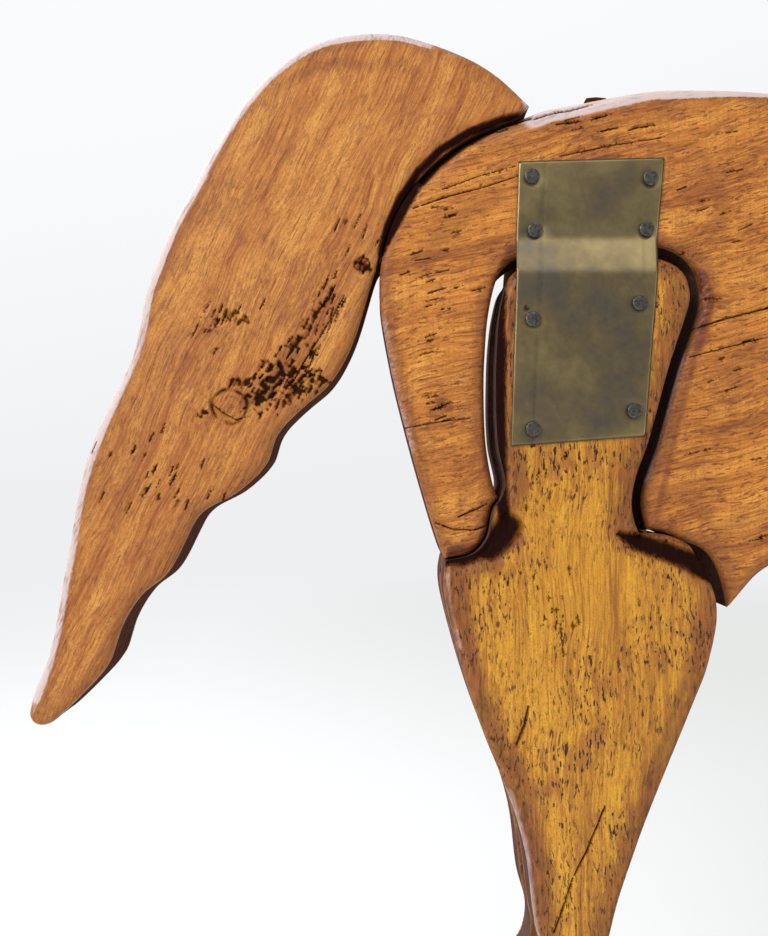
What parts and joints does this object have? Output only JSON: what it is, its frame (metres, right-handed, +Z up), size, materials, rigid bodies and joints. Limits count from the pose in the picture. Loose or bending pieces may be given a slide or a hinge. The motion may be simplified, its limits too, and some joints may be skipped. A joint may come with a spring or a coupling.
{
  "type": "carved wooden horse",
  "caption": "Flat carved wooden horse with butted tail and neck boards, legs slotted into the body under bent brass plates, on a low base.",
  "frame": {"origin": "middle of the base's underside", "axes": "+Z up, +X along the horse towards its head, -Y out of the horse's right side, the side that carries the view"},
  "size_m": [0.7519, 0.12, 0.7967],
  "materials": {
    "stained_board": "red-brown stained and waxed softwood, worn arrises",
    "leg_board": "ochre stained and waxed softwood with open pores",
    "aged_brass": "olive, dulled sheet brass",
    "dull_steel": "grey oxidised nail heads",
    "base_board": "plain stained board"
  },
  "bodies": {
    "root": {"body": "stained_board", "tail": "stained_board", "neck_head": "stained_board", "base": "base_board", "hind_leg_right": "leg_board", "hind_plate_right": "aged_brass", "hind_leg_left": "leg_board", "hind_plate_left": "aged_brass", "fore_leg_right": "leg_board", "fore_plate_right": "aged_brass", "fore_leg_left": "leg_board", "fore_plate_left": "aged_brass", "hind_plate_right_nail_1": "dull_steel", "hind_plate_right_nail_2": "dull_steel", "hind_plate_right_nail_3": "dull_steel", "hind_plate_right_nail_4": "dull_steel", "hind_plate_right_nail_5": "dull_steel", "hind_plate_right_nail_6": "dull_steel", "hind_plate_right_nail_7": "dull_steel", "hind_plate_right_nail_8": "dull_steel", "hind_plate_left_nail_1": "dull_steel", "hind_plate_left_nail_2": "dull_steel", "hind_plate_left_nail_3": "dull_steel", "hind_plate_left_nail_4": "dull_steel", "hind_plate_left_nail_5": "dull_steel", "hind_plate_left_nail_6": "dull_steel", "hind_plate_left_nail_7": "dull_steel", "hind_plate_left_nail_8": "dull_steel", "fore_plate_right_nail_1": "dull_steel", "fore_plate_right_nail_2": "dull_steel", "fore_plate_right_nail_3": "dull_steel", "fore_plate_right_nail_4": "dull_steel", "fore_plate_right_nail_5": "dull_steel", "fore_plate_right_nail_6": "dull_steel", "fore_plate_right_nail_7": "dull_steel", "fore_plate_right_nail_8": "dull_steel", "fore_plate_left_nail_1": "dull_steel", "fore_plate_left_nail_2": "dull_steel", "fore_plate_left_nail_3": "dull_steel", "fore_plate_left_nail_4": "dull_steel", "fore_plate_left_nail_5": "dull_steel", "fore_plate_left_nail_6": "dull_steel", "fore_plate_left_nail_7": "dull_steel", "fore_plate_left_nail_8": "dull_steel"}
  },
  "joints": []
}
